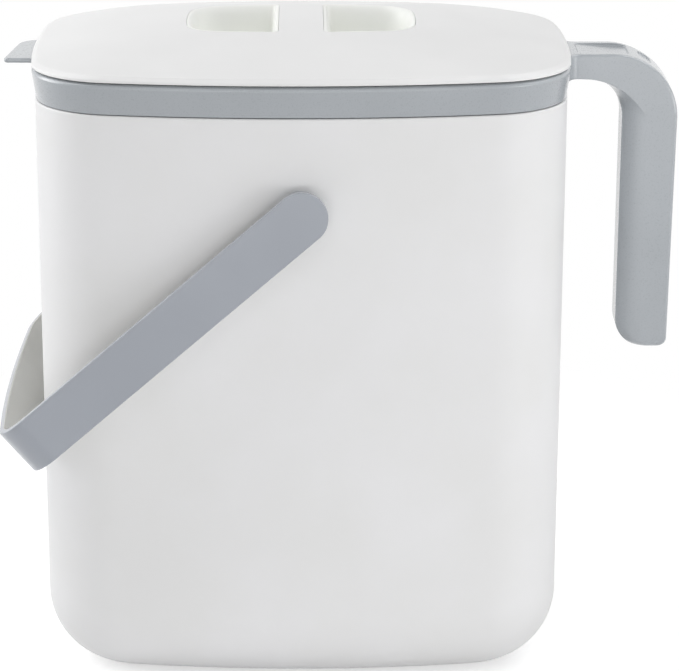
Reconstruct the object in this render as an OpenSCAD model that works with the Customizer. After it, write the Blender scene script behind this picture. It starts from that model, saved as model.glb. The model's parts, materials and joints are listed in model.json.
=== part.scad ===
// Kitchen compost caddy: white outer bucket with a swinging bail, grey rim frame
// with a side grip that lifts the inner bucket out, and a plug lid that lifts off.
// +Z is up, the front faces -Y and the grip is on +X. The origin is on the floor,
// at the centre of the bucket.

/* [Body] */
// Width of the outer bucket at its rim, across the middle
body_w = 221; // [200:1:250]
// Depth of the outer bucket at its rim, across the middle
body_d = 150; // [136:1:180]
// Height of the outer bucket's rim above the floor
body_h = 247; // [200:1:290]
// Radius of the upright corners
corner_r = 36.5; // [32:0.5:42]
// How far the front and back faces bow outwards
front_bow = 13.5; // [8:0.5:16]
// How far the left and right faces bow outwards
end_bow = 6.7; // [4:0.1:9]
// Radius where the walls turn into the base
base_r = 33; // [26:1:40]
// Wall of the outer bucket
body_wall = 2.5; // [2:0.1:3.2]
// Draft of the outer walls over their whole height
body_draft = 1.2; // [0.6:0.1:2.5]

/* [Rim frame] */
// Height of the grey collar
collar_h = 12.7; // [11:0.1:15]
// How far the collar's top stands out past the bucket
collar_flare = 1.2; // [0.6:0.1:2]
// How far the collar's bottom is drawn in behind the bucket's rim
collar_inset = 0.5; // [0.2:0.1:0.8]
// Inset of the collar's inner wall from the bucket's outline
collar_bore = 3.5; // [3:0.1:4]
// Thickness of the ledge that carries the inner bucket
ledge_t = 1.7; // [1.4:0.1:2.4]
// Width of that ledge
ledge_w = 6; // [5:0.5:8]
// Depth of the skirt that centres the frame in the bucket
skirt_h = 8; // [5:0.5:12]
// Thickness of the skirt
skirt_t = 2.2; // [1.6:0.1:2.6]
// How far the thumb tab on the left reaches past the collar
tab_reach = 11.3; // [8:0.1:16]
// Width of the thumb tab
tab_w = 38; // [28:1:48]
// Thickness of the thumb tab
tab_t = 2; // [1.6:0.1:3]
// How far the tab's tip slants back towards its far corner
tab_slant = 3.5; // [0:0.5:6]

/* [Grip] */
// Width of the arm and the grip
grip_w = 28; // [22:1:32]
// Gap for the fingers between collar and grip
finger_gap = 22.5; // [20:0.5:34]
// Thickness of the grip
grip_t = 22.8; // [18:0.1:26]
// Height of the arm
arm_h = 10.8; // [9:0.1:12]
// Length of the grip below the arm's top
grip_l = 127; // [100:1:150]
// Outer radius of the bend between arm and grip
grip_bend = 27; // [24:0.5:30]
// Radius of the grip's edges on the finger side
grip_edge = 10; // [6:0.5:11]
// Radius of the grip's lower inner corner
grip_end_r = 11.5; // [6:0.5:14]
// Radius of the grip's lower outer corner
grip_toe_r = 4; // [2:0.5:8]
// Depth of the pocket in the arm's top at its end near the bend
pocket_depth = 2.5; // [1.5:0.5:8]
// Depth of the same pocket at its end near the collar, where its floor has risen
pocket_start_depth = 0.8; // [0.4:0.2:1.4]
// Width of the arm's pockets
pocket_w = 18; // [12:0.5:20]
// Plain length of the arm before its pocket
pocket_root = 3.5; // [2:0.5:6]
// How far the arm's pocket runs past the start of the bend
pocket_overrun = 7; // [2:0.5:8]
// Length of the pocket in the bend
bend_pocket_l = 8; // [5:0.5:10]
// Width of the pocket in the bend
bend_pocket_w = 14; // [10:0.5:18]

/* [Inner bucket] */
// Wall of the inner bucket
inner_wall = 1.8; // [1.4:0.1:2.4]
// Clearance between the inner bucket and the ledge's edge
inner_gap = 0.5; // [0.3:0.1:1]
// Space between the floors of the two buckets
floor_gap = 2.5; // [1.5:0.5:8]
// Draft of the inner bucket over its height
inner_draft = 2; // [1:0.5:4]
// Thickness of the inner bucket's flange
flange_t = 2; // [1.6:0.1:2.2]

/* [Lid] */
// Height of the dome above the lid's edge
dome_h = 11; // [8:0.1:15]
// Height of the lid's upright edge
lid_edge_h = 2.4; // [2.2:0.1:4]
// How square the dome's profile is
dome_power = 2.7; // [2.2:0.1:4]
// Wall of the lid's shell
lid_wall = 2.2; // [1.8:0.1:2.6]
// Width of the two finger wells together
wells_w = 92.5; // [84:0.5:104]
// Width of the wells front to back
wells_d = 56; // [46:1:64]
// Radius of the wells' outer corners
wells_r = 14; // [10:0.5:16]
// How far the wells' long sides bow outwards
well_bow = 4.5; // [2:0.5:6]
// How far the wells' ends bow outwards
well_end_bow = 2.5; // [1:0.5:4]
// Width of the bridge between the wells
bridge_w = 21.5; // [18:0.5:26]
// Wall of the cup under the wells
cup_wall = 1.4; // [1.2:0.1:2]
// Thickness of the cup's floor
cup_floor = 1.8; // [1.4:0.1:2.2]
// Depth of the plug that enters the collar
plug_h = 8.8; // [8:0.1:9.4]
// Thickness of the plug's floor plate
plug_t = 1.8; // [1.4:0.1:2.2]
// Wall of the plug, measured inwards from its side
plug_wall = 3.6; // [3:0.1:5]
// Clearance between the plug and the collar
plug_gap = 0.7; // [0.5:0.1:1]
// Height of the sealing ring
seal_h = 2.8; // [2:0.1:3]
// Depth of the groove that holds the sealing ring
seal_groove = 1.6; // [1.2:0.1:2]
// Gap left between the sealing ring and the collar's wall
seal_gap = 0.3; // [0.2:0.05:0.4]

/* [Bail] */
// Width of the bail's strap
strap_w = 21.5; // [18:0.5:24]
// Thickness of the strap
strap_t = 3; // [2.5:0.1:4]
// How far the bail's pivot sits below the bucket's rim
pivot_drop = 38.5; // [33:0.5:68]
// Distance from the pivot to the outside of the strap's far side
bail_l = 158; // [150:1:190]
// Gap between the bucket's front face and the strap
bail_gap = 7; // [5:0.1:12]
// Outer radius of the strap's two corners
bail_r = 14; // [10:0.5:30]
// How far the strap's far side bows outwards
bail_bow = 4.2; // [2:0.1:8]

/* [Pivots] */
// Diameter of the pivot pin
pin_d = 8; // [6:0.5:9]
// Clearance around the pin in its bush, on the radius
pin_clear = 0.06; // [0.02:0.01:0.1]
// Diameter of the pin's head
head_d = 16; // [13:0.5:17.5]
// Thickness of the pin's head, let into the strap
head_t = 1.2; // [0.8:0.1:1.5]
// Outer diameter of the bush's barrel
bush_d = 12; // [11:0.5:14]
// Outer diameter of the bush's flange
bush_flange_d = 18; // [16:0.5:22]
// Outer diameter of the retaining ring
retainer_d = 15; // [12:0.5:18]
// Thickness of the retaining ring
retainer_t = 1.2; // [1:0.1:2]
// How far the pin stands out past the retaining ring
pin_tail = 0.3; // [0.2:0.1:1]

/* [Clearances] */
// Gap between pieces that lift apart
lift_gap = 0.3; // [0.2:0.05:0.5]
// Gap between fixed pieces that fit into each other
fit_gap = 0.1; // [0.05:0.01:0.2]
// Open seam between the lid's edge and the collar
seam_gap = 0.4; // [0.3:0.05:0.6]

/* [Hidden] */
$fn = 96;

white = "#eeeeec";
warm_white = "#eceee8";
grey = "#a9afb5";

// Facets of one quarter of an outline: face, corner and end
face_steps = 5;
corner_steps = 7;
end_steps = 4;
// Steps of a quarter-round profile and of the dome
fillet_steps = 7;
dome_steps = 10;
// Small edge radius on rims
edge_r = 0.8;
// Overlap that joins two shapes of one piece
weld = 1;
// Reach of cutters past the faces they cut
cut = 5;
// Play of the retaining ring on its pin, on the radius
press_gap = 0.02;
// Corner radius left where the base is flat
base_corner_r = 7;

face_radius = bow_radius(body_w / 2, front_bow);
end_radius = bow_radius(body_d / 2, end_bow);

pivot_z = body_h - pivot_drop;
collar_z = body_h + lift_gap;
collar_top = collar_z + collar_h;
ledge_z = collar_z + ledge_t;
skirt_outer = body_wall + inner_gap;
ledge_inner = collar_bore + ledge_w;

inner_outer = ledge_inner + inner_gap;
inner_base = body_wall + floor_gap;
inner_rim = ledge_z + flange_t;
inner_base_r = base_r - body_wall - ledge_w;

lid_z = collar_top + seam_gap;
dome_z = lid_z + lid_edge_h;
lid_top = dome_z + dome_h;
plug_outer = collar_bore + plug_gap;
plug_z = collar_top - plug_h;
plug_inner = plug_outer + plug_wall;
liner_z = collar_top + lift_gap;
// Rise of the dome across the wall at its edge
dome_rise = dome_h * (1 - (1 - lid_wall / (body_d / 2 + collar_flare)) ^ dome_power);
liner_flange_top = dome_z + dome_rise - lid_wall - fit_gap;
cup_z = plug_z + plug_t + 2 * lift_gap;
seal_z = plug_z + plug_h / 2 - seal_h / 2;

// Share of the bail's length by which its far side lies below the pivot at rest
rest_drop = 0.65;
strap_in = body_d / 2 + bail_gap;
strap_out = strap_in + strap_t;
pivot_wall = body_d / 2 - draft_at(pivot_z);
rest_x = body_w / 2 - draft_at(pivot_z - bail_l * rest_drop) + lift_gap;
rest_reach = norm([bail_l - strap_t, strap_w / 2]);
bail_rest = acos(rest_x / rest_reach) - atan2(strap_w / 2, bail_l - strap_t);
bush_in = pivot_wall - body_wall - lift_gap;

grip_x = body_w / 2 + collar_flare + finger_gap;
grip_out_x = grip_x + grip_t;
grip_bend_x = grip_out_x - grip_bend;
grip_bend_z = collar_top - grip_bend;
// Edge radii of the arm and of the grip's outer side, and the bend's inner radius
arm_edge = 1;
grip_outer_edge = 1.4;
palm_r = 16;
palm_x = grip_x - palm_r;
palm_z = collar_top - arm_h - palm_r;
grip_end_z = collar_top - grip_l;
bend_steps = 8;
bend_pocket_angle = 58;
// How far the grip leans in towards the bucket at its end
grip_lean = 0.8;

// Radius of an arc over a half span with a given rise
function bow_radius(half, rise) = (half * half + rise * rise) / (2 * rise);

// Inset of the outer bucket's wall at a height
function draft_at(z) = body_draft * (body_h - z) / body_h;

// Centre of the corner arc that meets a face arc and an end arc
function corner_centre(a, b, r, rf, re) =
    let (span = [a - re, b - rf],
         d = norm(span),
         u = span / d,
         along = ((rf - r) ^ 2 - (re - r) ^ 2 + d * d) / (2 * d),
         across = sqrt((rf - r) ^ 2 - along * along))
    [0, rf - b] + u * along + [-u.y, u.x] * across;

function arc(c, r, from, to, steps, first = 0) =
    [for (i = [first : steps])
        let (turn = from + (to - from) * i / steps)
        c + r * [cos(turn), sin(turn)]];

// Quarter of a bowed rectangle, from the middle of the front to the middle of the right end
function quarter(a, b, r, rf, re) =
    let (c = corner_centre(a, b, r, rf, re),
         face = atan2(c.y - rf + b, c.x),
         side = atan2(c.y, c.x - a + re))
    concat(arc([0, rf - b], rf, -90, face, face_steps),
           arc(c, r, face, side, corner_steps, 1),
           arc([a - re, 0], re, side, 0, end_steps, 1));

function reversed(p) = [for (i = [len(p) - 1 : -1 : 0]) p[i]];

// Bowed rectangle with half width a, half depth b, corner r, face arc rf and end arc re
function outline(a, b, r, rf, re) =
    let (q = quarter(a, b, r, rf, re),
         n = len(q),
         half = concat(q, [for (i = [n - 2 : -1 : 0]) [q[i].x, -q[i].y]]))
    concat(half, [for (i = [len(half) - 2 : -1 : 1]) [-half[i].x, half[i].y]]);

// Outline of the bucket drawn in by e, with its corner radius drawn in by k
function inset(e, k) = outline(body_w / 2 - e, body_d / 2 - e, corner_r - k, face_radius - e, end_radius - e);

// One ring of a loft
function ring(e, z) = [inset(e, e), z];

// Rings of a wall's quarter-round foot, from the flat base upwards
function foot_rings(e, draft, z, r) =
    [for (i = [0 : fillet_steps])
        let (t = 90 * i / fillet_steps,
             pull = r * (1 - sin(t)),
             share = (corner_r - e - base_corner_r) / r)
        [inset(e + draft + pull, e + pull * share), z + r * (1 - cos(t))]];

// Solid through a list of rings, each [points, height]
module loft(rings, loop = false) {
    n = len(rings[0][0]);
    m = len(rings);
    points = [for (r = rings) for (p = r[0]) [p.x, p.y, r[1]]];
    last = loop ? m : m - 1;
    sides = [for (i = [0 : last - 1], j = [0 : n - 1])
        let (a = i * n + j, d = i * n + (j + 1) % n,
             b = ((i + 1) % m) * n + j, c = ((i + 1) % m) * n + (j + 1) % n)
        each [[a, b, c], [a, c, d]]];
    caps = loop ? [] : [[for (j = [0 : n - 1]) j], [for (j = [n - 1 : -1 : 0]) (m - 1) * n + j]];
    polyhedron(points = points, faces = concat(sides, caps), convexity = 8);
}

module outer_bucket() {
    inner_r = base_r - body_wall;
    outside = concat(foot_rings(0, body_draft, 0, base_r),
        [ring(0, body_h - edge_r), ring(edge_r * 0.3, body_h - edge_r * 0.3), ring(edge_r, body_h)]);
    inside = concat([ring(body_wall, body_h)],
        reversed(foot_rings(body_wall, body_draft, body_wall, inner_r)));
    color(white)
    difference() {
        loft(concat(outside, inside));
        translate([0, 0, pivot_z])
            rotate([90, 0, 0])
                cylinder(r = bush_d / 2 + fit_gap / 2, h = body_d + cut, center = true);
    }
}

// Carries pivot pieces, drawn along +Z from the bucket's axis, to the front or the back
module at_pivot(side) {
    translate([0, 0, pivot_z])
        rotate([side * 90, 0, 0])
            children();
}

module pivot_bush(side) {
    color(grey)
    at_pivot(side)
        difference() {
            union() {
                translate([0, 0, pivot_wall + fit_gap])
                    cylinder(d = bush_flange_d, h = strap_in - lift_gap - pivot_wall - fit_gap);
                translate([0, 0, bush_in])
                    cylinder(d = bush_d, h = pivot_wall + weld - bush_in);
            }
            cylinder(r = pin_d / 2 + pin_clear, h = strap_out);
        }
}

module pivot_pin(side) {
    pin_end = bush_in - lift_gap - retainer_t - pin_tail;
    color(grey)
    at_pivot(side) {
        translate([0, 0, pin_end])
            cylinder(d = pin_d, h = strap_in + head_t - pin_end);
        translate([0, 0, strap_in])
            cylinder(d = head_d, h = head_t);
    }
}

module pivot_retainer(side) {
    color(white)
    at_pivot(side)
        translate([0, 0, bush_in - lift_gap - retainer_t])
            difference() {
                cylinder(d = retainer_d, h = retainer_t);
                translate([0, 0, -cut])
                    cylinder(r = pin_d / 2 + press_gap, h = retainer_t + 2 * cut);
            }
}

module front_pivot_bush() { pivot_bush(1); }
module rear_pivot_bush() { pivot_bush(-1); }
module front_pivot_pin() { pivot_pin(1); }
module rear_pivot_pin() { pivot_pin(-1); }
module front_pivot_retainer() { pivot_retainer(1); }
module rear_pivot_retainer() { pivot_retainer(-1); }

// Half of the bail's outline, from the front arm to the middle of the far side
function bail_half(half, length, r) =
    let (far = bow_radius(half, bail_bow),
         x = length - far,
         corner_y = half - r,
         corner_x = x + sqrt((far - r) ^ 2 - corner_y ^ 2),
         turn = atan2(-corner_y, corner_x - x))
    concat([[0, -half]],
           arc([corner_x, -corner_y], r, -90, turn, corner_steps),
           arc([x, 0], far, turn, 0, face_steps, 1));

function bail_outline(half, length, r) =
    let (h = bail_half(half, length, r))
    concat(h, [for (i = [len(h) - 2 : -1 : 0]) [h[i].x, -h[i].y]]);

// The bail lies in its own plane, X away from the pivot, and is then laid to rest on the left wall
module bail_handle() {
    color(grey)
    translate([0, 0, pivot_z])
        rotate([0, 180 - bail_rest, 0])
            difference() {
                union() {
                    linear_extrude(strap_w, center = true)
                        difference() {
                            polygon(bail_outline(strap_out, bail_l, bail_r));
                            translate([-cut, 0])
                                polygon(bail_outline(strap_in, bail_l + cut - strap_t, bail_r - strap_t));
                        }
                    for (side = [-1, 1])
                        rotate([side * 90, 0, 0])
                            translate([0, 0, strap_in])
                                cylinder(d = strap_w, h = strap_t);
                }
                rotate([90, 0, 0])
                    cylinder(d = head_d + 2 * fit_gap, h = 2 * (strap_in + head_t), center = true);
            }
}

module inner_bucket() {
    height = ledge_z - inner_base;
    outside = concat(foot_rings(inner_outer, inner_draft, inner_base, inner_base_r),
        [ring(inner_outer, ledge_z), ring(collar_bore + inner_gap, ledge_z),
         ring(collar_bore + inner_gap, inner_rim)]);
    inside = concat([ring(inner_outer + inner_wall, inner_rim)],
        reversed(foot_rings(inner_outer + inner_wall, inner_draft, inner_base + inner_wall,
                            inner_base_r - inner_wall)));
    color(white)
    loft(concat(outside, inside));
}

module collar() {
    loft([ring(collar_inset, collar_z),
          ring(-collar_flare, collar_top - edge_r),
          ring(edge_r * 0.3 - collar_flare, collar_top - edge_r * 0.3),
          ring(edge_r - collar_flare, collar_top),
          ring(collar_bore, collar_top),
          ring(collar_bore, ledge_z),
          ring(ledge_inner, ledge_z),
          ring(ledge_inner, collar_z),
          ring(skirt_outer + skirt_t, collar_z),
          ring(skirt_outer + skirt_t, collar_z - skirt_h),
          ring(skirt_outer, collar_z - skirt_h),
          ring(skirt_outer, collar_z)], loop = true);
}

// Stations of the handle: inner point, outer point and the radius of the finger-side edges
function handle_stations() =
    let (root = body_w / 2 - collar_bore + weld,
         low = collar_top - arm_h)
    concat(
        [[[root, low], [root, collar_top], arm_edge],
         [[palm_x - palm_r / 4, low], [palm_x, collar_top], arm_edge]],
        [for (i = [0 : bend_steps])
            let (t = 90 - 90 * i / bend_steps)
            [[palm_x + palm_r * cos(t), palm_z + palm_r * sin(t)],
             [grip_bend_x + grip_bend * cos(t), grip_bend_z + grip_bend * sin(t)],
             arm_edge + (grip_edge - arm_edge) * i / bend_steps]],
        [[[grip_x - grip_lean, grip_end_z], [grip_out_x - 2.5 * grip_lean, grip_end_z], grip_edge]]);

// Cross-section of the handle as fractions of its thickness, with the finger side at 0
function handle_section(t, r) =
    let (outer_r = grip_outer_edge, w = grip_w / 2)
    concat(arc([r, r - w], r, 180, 270, 3),
           arc([t - outer_r, outer_r - w], outer_r, 270, 360, 3),
           arc([t - outer_r, w - outer_r], outer_r, 0, 90, 3),
           arc([r, w - r], r, 90, 180, 3));

module handle_solid() {
    stations = handle_stations();
    sections = [for (s = stations)
        let (t = norm(s[1] - s[0]), u = (s[1] - s[0]) / t)
        [for (p = handle_section(t, s[2])) [s[0].x + u.x * p.x, p.y, s[0].y + u.y * p.x]]];
    n = len(sections[0]);
    m = len(sections);
    points = [for (s = sections) for (p = s) p];
    sides = [for (i = [0 : m - 2], j = [0 : n - 1])
        let (a = i * n + j, d = i * n + (j + 1) % n, b = a + n, c = d + n)
        each [[a, c, b], [a, d, c]]];
    caps = [[for (j = [n - 1 : -1 : 0]) j], [for (j = [0 : n - 1]) (m - 1) * n + j]];
    polyhedron(points = points, faces = concat(sides, caps), convexity = 4);
}

// Cutter that rounds a lower corner at the origin, with the material towards +X and +Z
module corner_cutter(r) {
    rotate([90, 0, 0])
        difference() {
            translate([-cut, -cut, -grip_w])
                cube([r + cut, r + cut, 2 * grip_w]);
            translate([r, r, 0])
                cylinder(r = r, h = 3 * grip_w, center = true);
        }
}

module handle() {
    pocket_from = body_w / 2 + collar_flare + pocket_root;
    pocket_to = grip_bend_x + pocket_overrun;
    difference() {
        handle_solid();
        rotate([90, 0, 0])
            linear_extrude(pocket_w, center = true)
                polygon([[pocket_from, collar_top - pocket_start_depth],
                         [pocket_to, collar_top - pocket_depth],
                         [pocket_to, collar_top + cut],
                         [pocket_from, collar_top + cut]]);
        translate([grip_bend_x, 0, grip_bend_z])
            rotate([0, -bend_pocket_angle, 0])
                translate([grip_bend - pocket_depth, -bend_pocket_w / 2, -bend_pocket_l / 2])
                    cube([pocket_depth + cut, bend_pocket_w, bend_pocket_l]);
        translate([grip_x - grip_lean, 0, grip_end_z])
            corner_cutter(grip_end_r);
        translate([grip_out_x - 2.5 * grip_lean, 0, grip_end_z])
            mirror([1, 0, 0])
                corner_cutter(grip_toe_r);
    }
}

// Thumb tab: a straight near edge and a round far corner
module thumb_tab() {
    root = body_w / 2 - collar_bore + weld;
    tip = body_w / 2 + collar_flare + tab_reach;
    far_r = tab_w / 4;
    translate([0, 0, collar_top - tab_t])
        linear_extrude(tab_t)
            polygon(concat([[-root, tab_w / 2], [-root, -tab_w / 2], [-tip, -tab_w / 2]],
                           reversed(arc([far_r + tab_slant - tip, tab_w / 2 - far_r], far_r,
                                        90, 180, corner_steps))));
}

module rim_frame() {
    color(grey)
    union() {
        collar();
        handle();
        thumb_tab();
    }
}

// Rings of the dome as shares of the outline, from the share at its edge to its middle
function dome_rings(e, z, height, edge) =
    [for (i = [0 : dome_steps])
        let (s = edge - (edge - 0.05) * (i / dome_steps) ^ 1.4)
        [inset(e, e) * s, z + height * (1 - s ^ dome_power)]];

// Outside of the lid, from its upright edge over the rounding to the middle
function lid_outside() =
    concat([ring(-collar_flare, dome_z - edge_r * 1.8),
            ring(edge_r / 2 - collar_flare, dome_z - edge_r * 0.45)],
           dome_rings(-collar_flare, dome_z, dome_h, 1 - 1.5 * edge_r / (body_d / 2)));

// One finger well, grown by g on every side
module well_shape(side, g) {
    a = wells_w / 2 + g;
    b = wells_d / 2 + g;
    intersection() {
        polygon(outline(a, b, wells_r + g, bow_radius(wells_w / 2, well_bow) + g,
                        bow_radius(wells_d / 2, well_end_bow) + g));
        translate([side > 0 ? bridge_w / 2 - g : -a - cut, -b - cut])
            square([a - bridge_w / 2 + g + cut, 2 * (b + cut)]);
    }
}

module lid_shell() {
    color(white)
    difference() {
        loft(concat(
            reversed(dome_rings(lid_wall - collar_flare, dome_z + dome_rise - lid_wall, dome_h - dome_rise, 1)),
            [ring(lid_wall - collar_flare, lid_z), ring(edge_r / 2 - collar_flare, lid_z),
             ring(-collar_flare, lid_z + edge_r / 4)],
            lid_outside()));
        for (side = [-1, 1])
            translate([0, 0, lid_z - cut])
                linear_extrude(lid_top - lid_z + 2 * cut)
                    well_shape(side, cup_wall + fit_gap);
    }
}

module lid_well_cup() {
    color(warm_white)
    intersection() {
        loft(concat([ring(-collar_flare, cup_z - cut)], lid_outside()));
        translate([0, 0, cup_z])
            difference() {
                union() {
                    for (side = [-1, 1])
                        linear_extrude(lid_top - cup_z)
                            well_shape(side, cup_wall);
                    translate([-bridge_w / 2, -wells_d / 2, 0])
                        cube([bridge_w, wells_d, cup_floor]);
                }
                for (side = [-1, 1])
                    translate([0, 0, cup_floor])
                        linear_extrude(lid_top - cup_z)
                            well_shape(side, 0);
            }
    }
}

module lid_liner() {
    color(white)
    loft([ring(plug_outer + edge_r, plug_z),
          ring(plug_outer, plug_z + edge_r),
          ring(plug_outer, seal_z),
          ring(plug_outer + seal_groove, seal_z),
          ring(plug_outer + seal_groove, seal_z + seal_h),
          ring(plug_outer, seal_z + seal_h),
          ring(plug_outer, liner_z),
          ring(lid_wall - collar_flare + fit_gap, liner_z),
          ring(lid_wall - collar_flare + fit_gap, liner_flange_top),
          ring(plug_inner, liner_flange_top),
          ring(plug_inner, plug_z + plug_t)]);
}

module lid_seal() {
    outer = collar_bore + seal_gap;
    inner = plug_outer + seal_groove - fit_gap / 2;
    color("#d4d6d6")
    loft([ring(inner, seal_z + fit_gap / 2),
          ring(outer, seal_z + fit_gap / 2),
          ring(outer, seal_z + seal_h - fit_gap / 2),
          ring(inner, seal_z + seal_h - fit_gap / 2)], loop = true);
}

outer_bucket();
front_pivot_bush();
rear_pivot_bush();
bail_handle();
front_pivot_pin();
rear_pivot_pin();
front_pivot_retainer();
rear_pivot_retainer();
inner_bucket();
rim_frame();
lid_shell();
lid_well_cup();
lid_liner();
lid_seal();
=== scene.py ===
import json
from math import acos, asin, atan2, cos, degrees, hypot, pi, radians, sin, sqrt

import bpy
from mathutils import Matrix, Vector


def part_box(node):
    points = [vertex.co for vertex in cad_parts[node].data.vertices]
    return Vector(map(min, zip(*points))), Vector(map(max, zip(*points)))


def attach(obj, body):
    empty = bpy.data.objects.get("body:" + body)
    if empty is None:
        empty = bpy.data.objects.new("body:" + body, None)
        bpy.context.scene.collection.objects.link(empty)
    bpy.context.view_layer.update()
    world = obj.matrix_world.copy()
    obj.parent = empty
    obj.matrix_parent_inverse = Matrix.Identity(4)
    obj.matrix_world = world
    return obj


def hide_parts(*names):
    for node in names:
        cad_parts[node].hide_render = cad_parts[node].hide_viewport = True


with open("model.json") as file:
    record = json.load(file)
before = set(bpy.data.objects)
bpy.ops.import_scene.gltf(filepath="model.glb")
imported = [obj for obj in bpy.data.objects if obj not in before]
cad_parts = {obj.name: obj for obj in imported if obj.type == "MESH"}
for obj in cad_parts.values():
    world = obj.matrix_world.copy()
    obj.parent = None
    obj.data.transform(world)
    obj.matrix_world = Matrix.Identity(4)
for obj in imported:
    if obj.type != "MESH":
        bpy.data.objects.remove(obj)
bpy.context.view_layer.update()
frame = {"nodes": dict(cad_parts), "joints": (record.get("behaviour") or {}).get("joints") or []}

# Outer bucket
# White polypropylene, injection moulded in one piece with bowed walls, a little draft and a wide
# round foot. The tool is spark eroded, which leaves a fine matt grain. It stands on its own base.
MM = 0.001
half_width, half_depth, bucket_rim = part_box("outer_bucket")[1] / MM
corner_radius = 36.5
foot_corner = 7
front_bow = 13.5
end_bow = 6.7
foot_radius = 33
bucket_draft = 1.2
bucket_wall = 2.5
rim_edge = 0.8
lip_edge = 0.4
face_steps, corner_steps, end_steps, foot_steps = 18, 22, 10, 20


def arc(centre, radius, start, end, steps, first=0):
    """Points of an arc from one angle to another, in degrees."""
    turns = [radians(start + (end - start) * i / steps) for i in range(first, steps + 1)]
    return [(centre[0] + radius * cos(turn), centre[1] + radius * sin(turn)) for turn in turns]


def bow_radius(half, rise):
    """Radius of the arc that spans twice half and rises by rise."""
    return (half * half + rise * rise) / (2 * rise)


def bowed_outline(a, b, corner, face_radius, end_radius):
    """Closed outline that reaches a and b from its centre, made of arcs that meet smoothly."""
    span = Vector((a - end_radius, b - face_radius))
    unit = span.normalized()
    along = ((face_radius - corner) ** 2 - (end_radius - corner) ** 2
             + span.length ** 2) / (2 * span.length)
    across = sqrt((face_radius - corner) ** 2 - along ** 2)
    centre = Vector((0, face_radius - b)) + unit * along + Vector((-unit.y, unit.x)) * across
    face_turn = degrees(atan2(centre.y - face_radius + b, centre.x))
    end_turn = degrees(atan2(centre.y, centre.x - a + end_radius))
    quarter = arc((0, face_radius - b), face_radius, -90, face_turn, face_steps)
    quarter += arc(centre, corner, face_turn, end_turn, corner_steps, 1)
    quarter += arc((a - end_radius, 0), end_radius, end_turn, 0, end_steps, 1)
    right = quarter + [(x, -y) for x, y in reversed(quarter[:-1])]
    return right + [(-x, y) for x, y in reversed(right[1:-1])]


def drawn_in(e, corner_cut=None):
    """The bucket's outline at its rim, drawn in by e, with its corner radius cut by corner_cut."""
    corner_cut = e if corner_cut is None else corner_cut
    return bowed_outline(half_width - e, half_depth - e, corner_radius - corner_cut,
                         bow_radius(half_width, front_bow) - e, bow_radius(half_depth, end_bow) - e)


def foot_rings(e, draft, base, radius):
    """Rings of a wall's round foot, from the flat base up to where the wall starts."""
    share = (corner_radius - e - foot_corner) / radius
    turns = [pi / 2 * i / foot_steps for i in range(foot_steps + 1)]
    return [(drawn_in(e + draft + radius * (1 - sin(t)), e + radius * (1 - sin(t)) * share),
             base + radius * (1 - cos(t))) for t in turns]


def profile_rings(profile):
    """Rings from a wall's profile, a list of how far it is drawn in and how high it is."""
    return [(drawn_in(e), z) for e, z in profile]


def skin_faces(count, rings, closed=False):
    """Faces of the skin through rings of count points each, capped at both ends unless closed."""
    faces = []
    for i in range(rings if closed else rings - 1):
        low, high = i * count, (i + 1) % rings * count
        faces += [(low + j, low + (j + 1) % count, high + (j + 1) % count, high + j)
                  for j in range(count)]
    if not closed:
        faces += [tuple(reversed(range(count))), tuple(range((rings - 1) * count, rings * count))]
    return faces


def join_rings(rings, closed=False):
    """Points and faces of the skin through rings that are each level, an outline and a height."""
    points = [(x, y, z) for outline, z in rings for x, y in outline]
    return points, skin_faces(len(rings[0][0]), len(rings), closed)


def settle(obj):
    """Turns what the modifiers make of an object into its plain mesh."""
    graph = bpy.context.evaluated_depsgraph_get()
    obj.data = bpy.data.meshes.new_from_object(obj.evaluated_get(graph), depsgraph=graph,
                                               preserve_all_data_layers=True)
    obj.data.name = obj.name
    obj.modifiers.clear()


def smooth(obj, crease=34):
    """Shades an object smooth up to the crease angle, with its large faces leading."""
    obj.data.shade_smooth()
    obj.data.set_sharp_from_angle(angle=radians(crease))
    weighted = obj.modifiers.new("weighted", "WEIGHTED_NORMAL")
    weighted.keep_sharp = True
    settle(obj)


def moulding(name, points, faces, material, edges=()):
    """An object from points in millimetres, at the origin, with its place in its mesh."""
    mesh = bpy.data.meshes.new(name)
    mesh.from_pydata([Vector(point) * MM for point in points], edges, faces)
    mesh.materials.append(material)
    obj = bpy.data.objects.new(name, mesh)
    bpy.context.collection.objects.link(obj)
    return obj


def linear(hex_colour):
    """An sRGB hex colour as linear red, green, blue and alpha."""
    parts = [int(hex_colour[i:i + 2], 16) / 255 for i in (1, 3, 5)]
    return [c / 12.92 if c <= 0.04045 else ((c + 0.055) / 1.055) ** 2.4 for c in parts] + [1]


def add_node(tree, kind, links=None, **settings):
    """Adds a node. Links maps its inputs to another node's output or to a value."""
    node = tree.nodes.new(kind)
    for setting, value in settings.items():
        setattr(node, setting, value)
    for socket, value in (links or {}).items():
        if isinstance(value, bpy.types.NodeSocket):
            tree.links.new(value, node.inputs[socket])
        else:
            node.inputs[socket].default_value = value
    return node


flow_cloud = 45
skin_roughness = 0.24


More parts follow.
